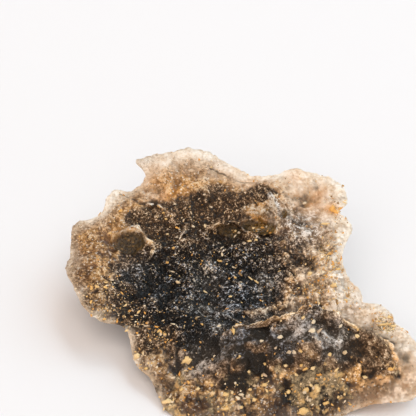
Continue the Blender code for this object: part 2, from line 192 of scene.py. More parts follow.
# The biggest grains: x, y, length, width, turn, and a shade from rust at 0 to cream at 1.
BIG_GRAINS = (
    (-5.1, -8.4, 0.46, 0.38, 0.1, 0.56), (-0.8, -8.0, 0.16, 0.34, 0.3, 0.5),
    (5.6, -8.4, 0.2, 0.16, 0.2, 0.58), (6.4, -8.8, 0.26, 0.18, 0.6, 0.95),
    (6.3, -9.4, 0.3, 0.22, 0.1, 0.95), (9.0, -8.4, 0.22, 0.14, 0.3, 0.9),
    (3.4, -9.6, 0.22, 0.16, 0.3, 0.95), (4.7, -10.4, 0.24, 0.18, -0.3, 0.93),
    (-8.6, 8.5, 0.2, 0.08, -0.2, 0.9), (-8.0, 8.1, 0.25, 0.08, -0.6, 0.45),
    (-7.5, 7.5, 0.13, 0.1, 0.0, 0.45), (-7.3, 6.9, 0.12, 0.09, 0.0, 0.5),
    (-6.5, 3.9, 0.15, 0.12, 0.4, 0.45), (-7.1, 2.7, 0.14, 0.1, 0.0, 0.4),
    (-6.6, 1.9, 0.3, 0.08, -0.3, 0.85), (-6.0, 0.3, 0.2, 0.14, -0.4, 0.7),
    (-3.5, -0.1, 0.32, 0.1, -0.9, 0.66), (-2.0, 3.1, 0.2, 0.14, 0.1, 0.45),
    (-0.5, 1.0, 0.16, 0.12, 0.3, 0.45), (-1.15, 1.1, 0.13, 0.1, 0.0, 0.42),
    (0.0, 0.6, 0.14, 0.1, 0.2, 0.9), (-1.0, -1.0, 0.16, 0.1, 0.0, 0.6),
    (-2.2, -0.6, 0.12, 0.08, 0.0, 0.42), (-1.8, 4.3, 0.2, 0.08, 0.8, 0.9),
    (0.3, 3.7, 0.1, 0.08, 0.0, 0.55), (0.9, 4.6, 0.22, 0.1, 0.1, 0.55),
    (1.5, 4.7, 0.16, 0.1, -0.2, 0.57), (0.4, 4.4, 0.14, 0.09, 0.5, 0.9),
    (-0.5, 6.3, 0.12, 0.1, 0.3, 0.56), (-0.1, 6.0, 0.13, 0.09, -0.4, 0.9),
    (3.7, 1.7, 0.16, 0.12, 0.2, 0.55), (1.0, 1.4, 0.4, 0.07, -0.75, 0.62),
    (1.6, 0.8, 0.4, 0.09, -0.8, 0.56), (6.6, 0.5, 0.28, 0.2, 0.6, 0.57),
    (8.2, 5.7, 0.4, 0.14, 0.15, 0.6), (9.0, 7.3, 0.3, 0.26, 1.0, 0.38),
    (8.5, 3.2, 0.26, 0.16, 1.2, 0.56), (9.3, 0.4, 0.24, 0.16, 0.2, 0.5),
    (8.8, -1.4, 0.3, 0.18, -0.2, 0.57), (9.8, -3.0, 0.2, 0.12, 0.0, 0.55),
    (2.2, 6.7, 0.13, 0.1, 0.0, 0.36), (2.9, 6.1, 0.15, 0.11, 0.0, 0.36),
    (1.6, 6.2, 0.1, 0.08, 0.0, 0.36), (2.4, 5.9, 0.09, 0.08, 0.0, 0.4),
    (-13.0, -4.2, 0.16, 0.1, 0.1, 0.45), (-9.8, -7.6, 0.34, 0.28, 1.2, 0.62),
    (-8.9, -8.9, 0.2, 0.14, 0.3, 0.5), (-7.0, -12.2, 0.4, 0.22, 0.1, 0.6),
    (13.3, -5.4, 0.5, 0.14, 0.05, 0.55), (14.2, -5.6, 0.3, 0.12, 0.1, 0.57),
    (2.4, -5.7, 0.3, 0.14, 0.4, 0.68), (-2.1, -5.7, 0.2, 0.14, 0.0, 0.95),
    (5.9, -12.2, 0.34, 0.22, 0.6, 0.53), (6.8, -12.2, 0.22, 0.36, 0.2, 0.57),
    (5.6, -13.6, 0.45, 0.3, 0.2, 0.52), (7.7, -12.8, 0.26, 0.16, 0.4, 0.5),
    (2.0, -12.1, 0.26, 0.18, 0.5, 0.54), (1.1, -12.9, 0.2, 0.16, 0.0, 0.56),
    (4.2, -12.3, 0.22, 0.18, 0.3, 0.55), (-1.5, -12.4, 0.3, 0.16, 0.3, 0.54),
    (-0.8, -13.0, 0.18, 0.14, 0.0, 0.57), (-2.7, -12.0, 0.2, 0.18, 0.0, 0.64),
    (-4.1, -11.5, 0.22, 0.16, 0.4, 0.62), (-1.5, -13.5, 0.3, 0.16, 0.1, 0.52),
    (-0.2, -13.4, 0.24, 0.16, 0.4, 0.55), (6.4, -11.1, 0.24, 0.2, 0.0, 0.62),
    (5.2, -10.7, 0.2, 0.16, 0.0, 0.5), (10.5, -8.5, 0.24, 0.2, 0.0, 0.62),
    (13.6, -10.8, 0.24, 0.16, 0.0, 0.42), (11.3, -11.1, 0.24, 0.16, 0.2, 0.58),
    (1.8, -9.4, 0.2, 0.17, 0.2, 0.93), (4.3, -10.1, 0.24, 0.2, 0.4, 0.9),
    (-0.3, -10.2, 0.14, 0.12, 0.0, 0.55), (0.5, -10.9, 0.16, 0.13, 0.3, 0.58),
    (9.4, -9.7, 0.26, 0.2, 0.3, 0.7), (2.1, -10.5, 0.16, 0.12, 0.2, 0.5),
    (3.9, -10.9, 0.18, 0.14, 0.0, 0.6), (8.0, -10.5, 0.2, 0.16, 0.3, 0.55),
    (1.8, -11.2, 0.18, 0.14, 0.5, 0.56), (3.0, -10.1, 0.15, 0.12, 0.0, 0.8),
)
# The finishes lie in soft round patches over the plan, each with its x, y, radius and amount.
# Where soil is caught.
SOIL_PATCHES = (
    (8.4, 3.2, 1.4, 0.2), (6.6, -1.4, 1.4, 0.3), (9.4, -2.6, 1.2, 0.15), (1.9, 7.0, 0.8, 0.3),
    (-7.6, -6.0, 1.0, 0.2), (-9.2, -8.6, 1.0, 0.5), (-6.4, -12.0, 1.6, 0.5),
    (-2.0, -13.4, 1.8, 0.6), (-5.4, -9.8, 1.2, 0.4), (13.4, -5.4, 1.0, 0.7),
    (13.6, -10.4, 1.3, 0.3), (9.6, 7.4, 0.9, 0.4), (8.8, -12.8, 1.3, 0.45), (-0.8, -12.8, 1.0, 0.4),
    (1.8, -12.2, 1.6, 0.5), (-4.7, 7.0, 0.9, 0.15), (5.6, -11.8, 0.9, 0.5), (8.4, -12.0, 1.4, 0.4),
    (-0.8, -12.2, 0.9, 0.3), (7.8, 0.6, 1.6, 0.3), (5.8, -12.3, 1.5, 0.8), (-11.9, -2.3, 1.6, 0.14),
    (-10.2, -3.9, 1.2, 0.12), (-13.4, -0.4, 1.3, 0.14), (-15.6, -1.2, 0.9, 0.25),
    (-13.6, -3.5, 1.0, 0.25),
)
# Where the glass is darkest, and how unevenly: the (size, share) of lumps.
SMOKE_LUMPS = ((1.6, 0.22), (0.7, 0.16))
SMOKE_PATCHES = (
    (-9.8, 7.2, 1.8, 0.35), (-8.0, 7.4, 2.0, 0.25), (-4.6, 7.8, 2.4, 0.5), (-0.8, 8.4, 2.2, 0.6),
    (1.6, 8.8, 1.3, 0.6), (-4.0, 10.1, 1.2, 0.35), (2.6, 8.6, 1.1, 0.8), (0.6, 10.2, 1.0, -0.4),
    (4.4, -6.0, 1.2, -0.6), (-10.4, 4.8, 2.0, 0.3), (-7.6, 3.4, 2.8, 0.85), (-2.4, 3.4, 3.2, 1.0),
    (2.4, 3.0, 2.6, 0.9), (-8.6, -0.4, 3.0, 0.9), (-3.4, -1.4, 3.6, 1.0), (2.0, -1.4, 2.7, 1.0),
    (4.8, -2.8, 1.3, -0.5), (4.0, -4.4, 0.9, -0.5), (9.6, -5.8, 1.5, -0.8), (1.9, 5.9, 1.1, 0.7),
    (3.4, 7.1, 0.9, -0.7), (7.1, -3.3, 1.0, 0.8), (7.4, -10.2, 1.2, 0.5), (6.9, 1.2, 1.3, 0.3),
    (-13.4, 1.4, 2.2, 0.2), (-13.0, -0.8, 1.8, 0.3), (-12.4, -2.2, 1.8, 0.35),
    (-10.6, -4.2, 1.8, 0.45), (-7.0, -3.6, 2.6, 0.6), (-4.0, -5.8, 3.0, 0.9),
    (-9.0, -7.2, 1.6, 0.45), (-0.6, -9.0, 3.0, 1.0), (4.6, -7.8, 2.8, 0.9), (8.9, -8.7, 2.1, 0.8),
    (12.4, -8.6, 1.6, 0.6), (2.6, -10.2, 1.6, 0.4), (5.2, 4.6, 1.2, 0.3), (3.4, -1.8, 1.0, -0.3),
    (-5.0, -10.4, 2.4, 0.3), (-7.6, -11.6, 1.6, 0.3), (15.0, -13.4, 1.6, -0.6),
    (16.6, -10.4, 1.2, -0.4), (-16.4, 3.0, 1.2, -0.5), (-15.4, -1.6, 1.2, -0.4),
    (-13.2, -4.2, 1.0, -0.4), (-10.8, -5.6, 0.9, -0.4), (-9.8, -8.2, 0.9, -0.4),
    (11.4, -9.2, 1.6, 0.5), (5.4, -10.2, 1.6, 0.45), (0.4, -14.2, 1.4, 0.3),
    (13.0, -10.0, 1.5, 0.6), (7.0, -8.0, 1.0, 0.4), (4.2, -8.0, 1.1, -0.4), (3.8, -10.4, 1.1, 0.4),
    (11.8, -7.6, 0.9, 0.3), (12.4, -12.4, 1.2, -0.3), (-0.2, -10.8, 1.2, 0.35),
    (-5.3, 7.4, 1.1, 0.4), (1.6, 8.4, 1.4, 0.3), (14.9, -9.6, 1.2, -0.4), (12.8, -7.2, 0.9, -0.25),
    (8.8, -11.4, 1.4, 0.35), (13.8, -11.0, 1.0, 0.5), (2.0, 7.4, 0.9, -0.9), (-16.2, 0.8, 1.3, 0.2),
    (-14.9, -2.2, 1.4, 0.3),
)
# Where dark glass is brown rather than black.
BROWN_PATCHES = (
    (-9.6, 7.0, 2.8, 0.9), (-5.0, 7.8, 2.6, 0.9), (-1.0, 8.4, 2.6, 0.9), (2.0, 8.2, 2.0, 0.9),
    (-10.6, 4.4, 1.8, 0.7), (5.2, 4.0, 2.2, 0.8), (6.2, 0.0, 2.2, 0.6), (1.9, 6.0, 1.0, 0.4),
    (-10.0, -7.0, 2.2, 0.5), (9.0, -12.2, 1.6, 0.5), (-12.4, -3.0, 2.0, 0.4),
    (-4.0, -13.8, 1.8, 0.4), (4.0, -14.0, 2.2, 0.4), (11.8, -9.0, 2.2, 0.9),
    (13.2, -10.2, 1.4, 0.7), (7.6, -8.0, 1.2, 0.5),
)
# Painted shade: where the pits are deepest and least light comes back, darker colour is painted in.
SHADE_PATCHES = (
    (-4.2, -5.2, 1.8, 1.2), (-4.4, -4.7, 1.0, 0.7), (5.2, 4.6, 1.2, 0.5), (7.4, 1.0, 1.8, 0.6),
    (9.2, -0.6, 1.4, 0.4), (5.1, -1.8, 0.8, 0.6), (-13.8, -0.8, 1.8, 0.5), (5.4, 1.2, 1.2, 0.4),
    (-5.2, 0.5, 0.8, 0.5), (-8.0, -2.2, 1.8, 0.5), (-8.4, 1.0, 1.6, 0.4), (-5.4, 0.2, 1.2, 0.3),
    (-1.6, -8.2, 1.2, 0.3), (4.4, -11.0, 0.7, 0.6), (-7.4, -4.6, 1.4, 0.5), (-9.6, 3.0, 0.7, 0.5),
    (-1.6, 8.0, 1.5, 0.4), (7.0, -3.0, 1.1, 0.8), (-11.4, -3.0, 1.7, 0.9), (-14.2, 3.6, 2.2, 0.7),
    (2.4, -10.8, 1.0, 0.4), (-4.2, -13.0, 1.3, 0.3), (-4.2, 6.2, 1.2, 0.3), (0.6, 5.0, 1.1, 0.5),
    (3.2, -13.2, 1.2, 0.5), (6.0, -12.8, 1.2, 0.4), (6.9, -8.1, 0.9, 0.5), (-5.0, 7.6, 1.6, 0.6),
    (1.6, 4.2, 1.1, 0.3), (-3.4, -4.6, 0.9, 0.3), (-10.8, -3.6, 1.2, 0.3), (-0.3, -10.7, 1.2, 0.35),
    (1.0, 8.1, 1.0, 0.8), (2.7, 8.4, 0.7, 0.8), (-3.7, -11.9, 1.2, 0.8), (-14.0, 2.2, 1.6, 0.4),
    (8.9, -11.6, 1.0, 0.4), (2.0, -12.6, 2.4, 0.25), (13.8, -11.0, 1.3, 0.3),
    (0.2, -9.8, 1.9, 0.25), (-1.1, -10.6, 1.0, 0.3), (0.1, -10.9, 0.9, 0.3), (10.6, -9.0, 1.4, 0.4),
    (6.2, -10.2, 0.9, 0.25), (3.4, -9.2, 1.3, 0.45),
)
# Where the etched skin is greyer than brown: partly its grey etching, partly a painted sheen of
# cool light on its pits.
GREY_SHEEN_PATCHES = (
    (-10.6, 1.6, 2.0, 0.8), (-8.0, 0.0, 2.0, 0.5), (-1.6, -2.6, 3.2, 0.9), (-3.4, -4.6, 2.0, 0.8),
    (2.4, -3.0, 2.0, 0.6), (-0.4, -5.6, 1.4, 0.7), (6.6, 5.4, 1.8, 0.6), (0.0, 2.0, 2.6, 0.3),
    (5.4, -9.8, 3.2, 1.0), (0.0, -9.4, 3.0, 0.9), (-5.4, -10.4, 2.4, 0.6),
)
# Where the glass is thin and clear; its pale cream colour there is partly painted light, standing
# in for light shining through.
CLEAR_PATCHES = (
    (-8.4, 12.4, 1.3, 0.5), (-3.0, 14.4, 1.5, 0.7), (0.4, 11.6, 1.5, 0.8), (3.4, 11.2, 1.3, 0.6),
    (-13.8, 8.4, 1.3, 0.8), (3.5, 7.0, 0.8, 0.8), (7.0, 9.2, 1.6, 0.6), (-2.0, 12.2, 1.2, 0.6),
    (-7.0, 13.0, 1.2, 0.5), (9.0, -4.6, 1.3, 0.8), (5.0, -2.8, 1.2, 0.5), (6.4, 6.6, 1.8, 0.7),
    (6.6, 3.2, 1.8, 0.4), (6.4, -0.6, 2.0, 0.4), (0.6, 10.2, 1.0, 0.5), (4.4, -5.4, 1.2, 0.4),
    (10.2, -4.2, 1.6, 1.0), (-8.6, 9.4, 1.4, 0.5), (5.6, 9.0, 1.4, 0.6), (9.0, 10.0, 2.6, 1.0),
    (6.2, 11.6, 1.6, 0.8), (9.8, 5.6, 1.8, 1.0), (9.6, 2.4, 1.8, 0.6), (9.4, -0.8, 2.2, 0.7),
    (11.6, -3.4, 2.4, 1.2), (13.8, -5.2, 2.0, 1.1), (15.8, -7.6, 2.0, 1.1), (16.2, -10.6, 2.2, 1.1),
    (-10.0, 14.0, 1.2, 0.9), (-5.0, 15.0, 2.2, 0.6), (-1.4, 13.4, 1.2, 0.5), (-12.4, 9.6, 1.4, 0.7),
    (-15.4, 6.6, 0.9, 0.4), (-15.8, 2.4, 0.9, 0.5), (-15.2, -1.0, 0.8, 0.3), (2.6, 10.6, 1.0, 0.3),
    (15.4, -13.0, 1.4, 0.4), (13.8, -12.4, 1.6, 0.4), (-16.5, 4.0, 0.8, 0.5),
    (-15.4, -1.4, 0.8, 0.5), (-13.4, -3.8, 0.8, 0.4), (-10.0, -7.8, 0.9, 0.3),
    (-10.9, -5.2, 0.8, 0.4), (-8.2, 8.5, 1.1, 0.3), (-15.4, -1.6, 1.8, -0.4),
)
# Where the skin is etched white, and where painted highlights on facets and crests are coloured in
# white.
FROST_AND_HIGHLIGHT_PATCHES = (
    (5.4, 6.2, 1.6, 0.8), (6.6, 5.6, 1.8, 0.5), (5.4, -9.2, 0.9, 0.35), (7.4, -9.8, 0.9, 0.3),
    (2.6, -4.4, 1.4, 0.4), (3.3, 7.4, 0.5, 0.8), (3.5, 6.6, 0.35, 0.6), (-2.2, -5.9, 0.7, 0.6),
    (-3.4, -2.6, 1.2, 0.3), (-5.2, -9.4, 1.3, 0.45), (7.2, 4.9, 1.0, 0.5), (-2.8, -3.2, 1.4, 0.35),
    (-9.6, 14.0, 0.9, 0.6), (-3.3, -8.9, 1.5, 0.4), (3.0, 0.8, 1.5, 0.3), (4.2, -8.2, 0.9, 0.3),
    (1.4, -5.0, 1.0, 0.3), (9.0, -9.7, 0.7, 0.4), (-10.6, 1.6, 1.6, 0.15), (-3.0, 0.6, 1.3, 0.3),
    (4.7, -1.3, 1.0, 0.25), (3.5, 7.8, 0.5, 0.7), (9.1, -8.6, 1.0, 0.25), (4.7, -9.0, 0.8, 0.15),
)
# Where iron has stained the glass amber.
AMBER_PATCHES = (
    (9.0, 7.3, 0.7, 0.8), (7.0, 8.2, 1.6, 0.45), (7.9, 9.8, 0.9, 0.35), (5.4, 11.2, 1.1, 0.3),
    (1.5, 7.2, 0.8, 0.4), (-7.0, 11.0, 3.6, 0.18), (-1.6, 11.6, 1.6, 0.14), (0.8, 10.0, 1.0, 0.3),
    (-1.5, 6.6, 0.9, 0.4), (-9.2, 5.6, 2.0, 0.25), (-7.0, 7.4, 2.0, 0.25), (-9.0, 11.4, 1.2, 0.2),
    (12.4, -12.4, 2.2, 0.22), (2.6, 9.8, 1.3, 0.25), (7.6, 6.0, 1.1, 0.22), (-11.2, 5.2, 1.2, 0.2),
    (13.6, -10.6, 1.6, 0.3), (11.6, -11.8, 1.3, 0.25), (6.0, 8.6, 1.3, 0.2), (1.4, 7.3, 1.0, 0.3),
    (13.4, -6.8, 2.4, 0.16), (15.6, -11.4, 2.0, 0.2), (10.4, -4.2, 2.4, 0.16),
    (14.8, -9.8, 1.3, 0.25), (-7.4, 8.6, 1.6, 0.3),
)
# The glass: how strongly it bends light, and the tint and density that darken it with depth.
GLASS_IOR = 1.49
GLASS_TINT = (0.60, 0.36, 0.0, 1.0)
GLASS_DENSITY = 420.0
# Half the table's side in metres, and the sky's colours at two heights.
TABLE_HALF = 1.5
SKY = ((0.0, (1.28, 1.10, 1.0, 1.0)), (0.6, (0.46, 0.395, 0.355, 1.0)))
SKY_STRENGTH = 0.95
# The lamps: name, azimuth, elevation, distance and size in metres, brightness, colour.
LAMPS = (
    ("key", 62.0, 42.0, 1.2, 1.1, 2.1, (0.54, 0.80, 0.94)),
    ("spark", 15.0, 48.0, 1.2, 0.3, 7.0, (0.9, 0.95, 1.0)),
    ("fill", 195.0, 58.0, 1.3, 1.6, 1.45, (1.02, 0.90, 0.81)),
)
# The camera: the spot it faces, its elevation, its distance, and the width it sees there.
CAMERA_TARGET = np.array([-3.157, 12.024, 3.6])
CAMERA_RISE = 40.0
CAMERA_AWAY = 190.0
VIEW_WIDTH = 42.0


def closed_curve(points, count):
    """A smooth closed curve through the points, cut into equal lengths."""
    steps = np.linspace(0.0, 1.0, 24, endpoint=False)[:, None, None]
    p0 = np.roll(points, 1, axis=0)
    p1 = points
    p2 = np.roll(points, -1, axis=0)
    p3 = np.roll(points, -2, axis=0)
    a = 2.0 * p1
    b = (p2 - p0) * steps
    c = (2.0 * p0 - 5.0 * p1 + 4.0 * p2 - p3) * steps**2
    d = (3.0 * p1 - p0 - 3.0 * p2 + p3) * steps**3
    fine = (0.5 * (a + b + c + d)).transpose(1, 0, 2).reshape(-1, 3)
    ends = np.vstack([fine, fine[:1]])
    along = np.concatenate([[0.0], np.cumsum(np.linalg.norm(np.diff(ends, axis=0), axis=1))])
    wanted = np.linspace(0.0, along[-1], count, endpoint=False)
    return np.stack([np.interp(wanted, along, ends[:, i]) for i in range(3)], axis=1)


def square_border(count):
    """The grid indices of a square's border cells, anticlockwise from the middle of its right."""
    low = np.arange(count)
    last = np.full(count, count)
    none = np.zeros(count, dtype=int)
    i = np.concatenate([last, count - low, none, low])
    j = np.concatenate([low, last, count - low, none])
    return np.roll(i, -(count // 2)), np.roll(j, -(count // 2))


def evened(grid, rounds):
    """The grid after rounds of moving each inner point to the balance of its eight neighbours."""
    for _ in range(rounds):
        east = grid[2:, 1:-1]
        west = grid[:-2, 1:-1]
        north = grid[1:-1, 2:]
        south = grid[1:-1, :-2]
        across = 0.5 * (east - west)
        along = 0.5 * (north - south)
        a = (along**2).sum(axis=-1, keepdims=True)
        b = (across * along).sum(axis=-1, keepdims=True)
        c = (across**2).sum(axis=-1, keepdims=True)
        skew = grid[2:, 2:] - grid[2:, :-2] - grid[:-2, 2:] + grid[:-2, :-2]
        even = a * (east + west) + c * (north + south) - 0.5 * b * skew
        grid[1:-1, 1:-1] = even / (2.0 * (a + c))
    return grid


def grid_inside(rim, count):
    """A square grid of points spread evenly inside the rim, its border on the rim."""
    i, j = square_border(count)
    grid = np.zeros((count + 1, count + 1, 2))
    half = count / 2.0
    rows, columns = np.indices((count + 1, count + 1)) - half
    radius = np.maximum(np.abs(rows), np.abs(columns)) / half
    safe = np.maximum(radius, 1e-9)
    border_x = np.rint(rows / safe + half).astype(int)
    border_y = np.rint(columns / safe + half).astype(int)
    grid[i, j] = rim - CENTRE
    grid = grid[border_x, border_y] * radius[..., None]
    return evened(grid, ROUNDS) + CENTRE


def eased(part):
    """A share from 0 to 1 that leaves and arrives gently."""
    return part * part * (3.0 - 2.0 * part)


def turned(x, y, turn):
    """How far these places lie along a direction at this angle, and how far across it."""
    return x * np.cos(turn) + y * np.sin(turn), y * np.cos(turn) - x * np.sin(turn)


def dents(x, y, table):
    """The sum of the table's rounded dents and swells."""
    total = np.zeros_like(x)
    for cx, cy, length, width, turn, height in table:
        along, across = turned(x - cx, y - cy, turn)
        total += height * np.exp(-((along / length) ** 2) - (across / width) ** 2)
    return total


def crest(x, y):
    """The knuckle's rise: a ridge that drops steeply behind and gently in front."""
    line = np.array(CREST)
    middle = np.interp(x, line[:, 0], line[:, 1])
    rise = np.interp(x, line[:, 0], line[:, 2])
    past = y - middle
    back = np.exp(-((np.maximum(past, 0.0) / CREST_BACK) ** 2))
    front = np.exp(-((np.maximum(-past, 0.0) / CREST_FRONT) ** 3.0))
    return rise * back * front


def lumps(points, size, seed):
    """Smooth random lumps of this size all through space, from -1 to 1."""
    table = np.random.RandomState(seed).uniform(-1.0, 1.0, (BLOCK, BLOCK, BLOCK))
    place = points / size + LUMPS_START
    cell = np.floor(place).astype(int)
    part = eased(place - cell)
    total = np.zeros(len(points))
    for corner in np.ndindex(2, 2, 2):
        corner = np.array(corner)
        share = np.prod(np.where(corner, part, 1.0 - part), axis=1)
        total += share * table[tuple(((cell + corner) % BLOCK).T)]
    return total


def pits(points, size, seed):
    """Round etched pits, one to a cell of this size: 1 at a pit's floor and 0 between pits."""
    source = np.random.RandomState(seed)
    shift = source.uniform(0.1, 0.9, (BLOCK, BLOCK, BLOCK, 3))
    reach = source.uniform(0.5, 0.95, (BLOCK, BLOCK, BLOCK))
    place = points / size + PITS_START
    cell = np.floor(place).astype(int)
    depth = np.zeros(len(points))
    for step in np.ndindex(3, 3, 3):
        other = cell + np.array(step) - 1
        key = tuple((other % BLOCK).T)
        away = np.linalg.norm(other + shift[key] - place, axis=1)
        bowl = np.clip(1.0 - (away / reach[key]) ** 2, 0.0, 1.0)
        depth = np.maximum(depth, bowl * reach[key])
    return depth


def layers(kind, points, table, seed):
    """The sum of lumps or pits of the table's sizes, each times its height, from this seed on."""
    return sum(height * kind(points, size, seed + i) for i, (size, height) in enumerate(table))


def rim_waves(turn, count, seed):
    """Random waves along the rim, this many to the round, from -1 to 1."""
    table = np.random.RandomState(seed).uniform(-1.0, 1.0, count)
    place = (turn % 1.0) * count
    cell = np.floor(place).astype(int)
    part = eased(place - cell)
    return table[cell % count] * (1.0 - part) + table[(cell + 1) % count] * part


def broken(rim, depth, table):
    """The rim's plan moved out and in by up to this depth, times the sum of the table's waves."""
    turn = np.arange(len(rim)) / len(rim)
    outward = rim - CENTRE
    outward /= np.linalg.norm(outward, axis=1)[:, None]
    waves = sum(share * rim_waves(turn, count, seed) for share, count, seed in table)
    return rim + depth * outward * waves[:, None]


def broken_rim(count):
    """The rim as this many points of x, y and height, and its thickness at each."""
    rim = closed_curve(np.array(RIM), count)
    turn = np.arange(count) / count
    rim[:, :2] = broken(rim[:, :2], RAGGED, RAGGED_WAVES)
    rim[:, 2] += 0.25 * rim_waves(turn, 29, 23)
    return rim, RIM_THICKNESS * (1.0 + RIM_VARIES * rim_waves(turn, 37, 24))


def skins(x, y):
    """The heights of the upper skin and the underside over these places, and the way to the rim.

    Both lie a half thickness from a sloping sheet, which the rim bends to its own height, and the
    middle is filled out by the swells of each. The nearest parts of the rim count the most.
    """
    rim, rim_thickness = broken_rim(RIM_SAMPLES)
    lift = rim[:, 2] - SHEET_HEIGHT - SHEET_SLOPE * rim[:, 1]
    away = np.hypot(x[:, None] - rim[:, 0], y[:, None] - rim[:, 1])
    way = away.min(axis=1)
    share = 1.0 / (away**2 + 0.02) ** 1.5
    share /= share.sum(axis=1)[:, None]
    lift = (share * lift).sum(axis=1) * np.exp(-((way / REACH) ** 1.5))
    half = 0.5 * (share * rim_thickness).sum(axis=1)
    flat = np.column_stack([x, y, np.zeros(len(x))])
    sheet = SHEET_HEIGHT + SHEET_SLOPE * y + lift + layers(lumps, flat, SHEET_WAVES, 51)
    fill = FILL * (1.0 + 0.45 * lumps(flat, 3.8, 53))
    inside = 1.0 - np.exp(-((way / fill) ** 1.3))
    top = sheet + half + (OVER + dents(x, y, UPPER) + crest(x, y)) * inside
    bottom = sheet - half - (UNDER + dents(x, y, LOWER)) * inside
    return np.maximum(top, bottom + LEAST), bottom, way


def roughened(points, normals, thickness, way):
    """The points moved along their normals by the skin's lumps and pits, less where it is thin."""
    depth = layers(lumps, points, LUMPS, 31) - layers(pits, points, PITS, 41)
    share = np.clip(thickness / THICK, 0.0, 1.4) * (1.0 - np.exp(-way / 0.6))
    return points + normals * (depth * share)[:, None]


def flattened(height):
    """Heights near or under the table brought up to it, so that the belly rests on flats."""
    soft = REST_SOFTNESS * np.logaddexp(0.0, height / REST_SOFTNESS)
    return np.maximum(soft - REST_CUT, 0.0)


def finer(grid, rim, count, rounds):
    """The grid with twice the cells, each new point midway, its border moved onto the rim."""
    size = grid.shape[0] * 2 - 1
    wide = np.zeros((size, size, 2))
    wide[::2, ::2] = grid
    wide[1::2, ::2] = 0.5 * (grid[1:] + grid[:-1])
    wide[:, 1::2] = 0.5 * (wide[:, :-2:2] + wide[:, 2::2])
    i, j = square_border(count)
    wide[i, j] = rim
    return evened(wide, rounds)


def plan_grids():
    """The plan of the upper skin and of the underside, refined from one coarse grid."""
    count = COARSE
    grid = grid_inside(broken_rim(4 * count)[0][:, :2], count)
    before = grid
    while count < FINE:
        count *= 2
        before = grid
        rim = broken_rim(4 * count)[0][:, :2]
        if count == FINE:
            rim = broken(rim, NIBBLES, NIBBLE_WAVES)
        grid = finer(grid, rim, count, FINER_ROUNDS)
    return grid, before


def grid_normals(grid):
    """The unit vector across both directions of the grid at each point, pointing up."""
    across = np.cross(np.gradient(grid, axis=0), np.gradient(grid, axis=1))
    return across / np.maximum(np.linalg.norm(across, axis=-1, keepdims=True), 1e-12)


def skin(plan, upper):
    """One skin over the plan: its points, and seven signs of each.

    The smooth skin is drawn in at the rim, raised by the ribs and sunk by the pools, moved along
    its normals by the etching, and cut flat at the table. The signs are how pitted and how sunken
    a point is, its way to the rim, its share of a pool, the thickness there, and how pale and how
    white it is. Pools, paleness and whiteness are the upper skin's alone.
    """
    x = plan[..., 0].ravel()
    y = plan[..., 1].ravel()
    pieces = [skins(a, b) for a, b in zip(np.array_split(x, BATCHES), np.array_split(y, BATCHES))]
    top, bottom, way = (np.concatenate(values) for values in zip(*pieces))
    thickness = top - bottom
    drawn = FEATHER * thickness * np.exp(-((way / FEATHER_REACH) ** 2))
    flat = np.column_stack([x, y, np.zeros(len(x))])
    sway = layers(lumps, flat, SWAY, 95)
    rise, pale, white = ribs(x + sway, y + 0.2 * lumps(flat, 1.0, 97))
    pale *= 0.8 + 0.5 * lumps(flat, 0.5, 98)
    rise *= 1.0 - np.exp(-way / 0.5)
    rise *= np.clip((thickness - THINNEST) / 0.8, 0.0, 1.0)
    sunk, pool = pools(x + 0.3 * sway, y)
    pool *= upper
    height = top - drawn + rise - sunk if upper else bottom + drawn
    points = np.column_stack([x, y, height])
    normals = grid_normals(points.reshape(plan.shape[:2] + (3,))).reshape(-1, 3)
    side = 1.0 if upper else -1.0
    normals *= side
    points = roughened(points, normals, thickness, way)
    points, hollow = etched(points, normals, thickness * (1.0 - 0.8 * pool) + THINNEST * pool)
    points[:, 2] = flattened(points[:, 2] - REST_HEIGHT)
    relief = points[:, 2].reshape(plan.shape[:2])
    sunken = side * (blurred(relief, SUNKEN_REACH * plan.shape[0] // FINE) - relief).ravel()
    sunken = sunken / SUNKEN_DEPTH * (1.0 - np.exp(-((way / 0.9) ** 2)))
    signs = np.column_stack([hollow, sunken, way, pool, thickness, pale, white])
    signs[:, 5:] *= upper
    return points, signs


def pools(x, y):
    """How deep the smooth hollows sink here, and how far inside one each place is, from 0 to 1."""
    sunk = np.zeros(len(x))
    inside = np.zeros(len(x))
    for cx, cy, length, width, turn, depth, smooth in POOLS:
        along, across = turned(x - cx, y - cy, turn)
        part = eased(np.clip((1.1 - np.hypot(along / length, across / width)) / 0.18, 0.0, 1.0))
        sunk = np.maximum(sunk, depth * part)
        inside = np.maximum(inside, smooth * part)
    return sunk, inside


def etched(points, normals, thickness):
    """The points sunk into fine pits and narrow creases, and how deep each lies as a share."""
    share = np.clip((thickness - THINNEST) / 1.5, 0.04, 1.0)
    share *= 0.75 + 0.45 * lumps(points, 3.1, 60)
    depth = -layers(pits, points, FINE_PITS, 61)
    for number, (size, height) in enumerate(CREASES):
        depth -= height * np.exp(-((lumps(points, size, 65 + number) / CREASE_WIDTH) ** 2))
    depth += layers(lumps, points, FINE_LUMPS, 71)
    hollow = np.clip(-depth / sum(height for _, height in FINE_PITS), 0.0, 1.0)
    return points + normals * (depth * share)[:, None], hollow


def ribs(x, y):
    """The height, paleness and whiteness of the ribs and cracks: round ridges along bent lines."""
    total = np.zeros((3, len(x)))
    for width, *amounts, line in RIBS:
        away = np.full(len(x), np.inf)
        for (ax, ay), (bx, by) in zip(line[:-1], line[1:]):
            run = (bx - ax) ** 2 + (by - ay) ** 2
            along = np.clip(((x - ax) * (bx - ax) + (y - ay) * (by - ay)) / run, 0.0, 1.0)
            off = np.hypot(x - ax - along * (bx - ax), y - ay - along * (by - ay))
            away = np.minimum(away, off)
        total += np.outer(amounts, np.exp(-((away / width) ** 2)))
    height, pale, white = total
    return height, np.clip(pale, -1.0, 1.0), white


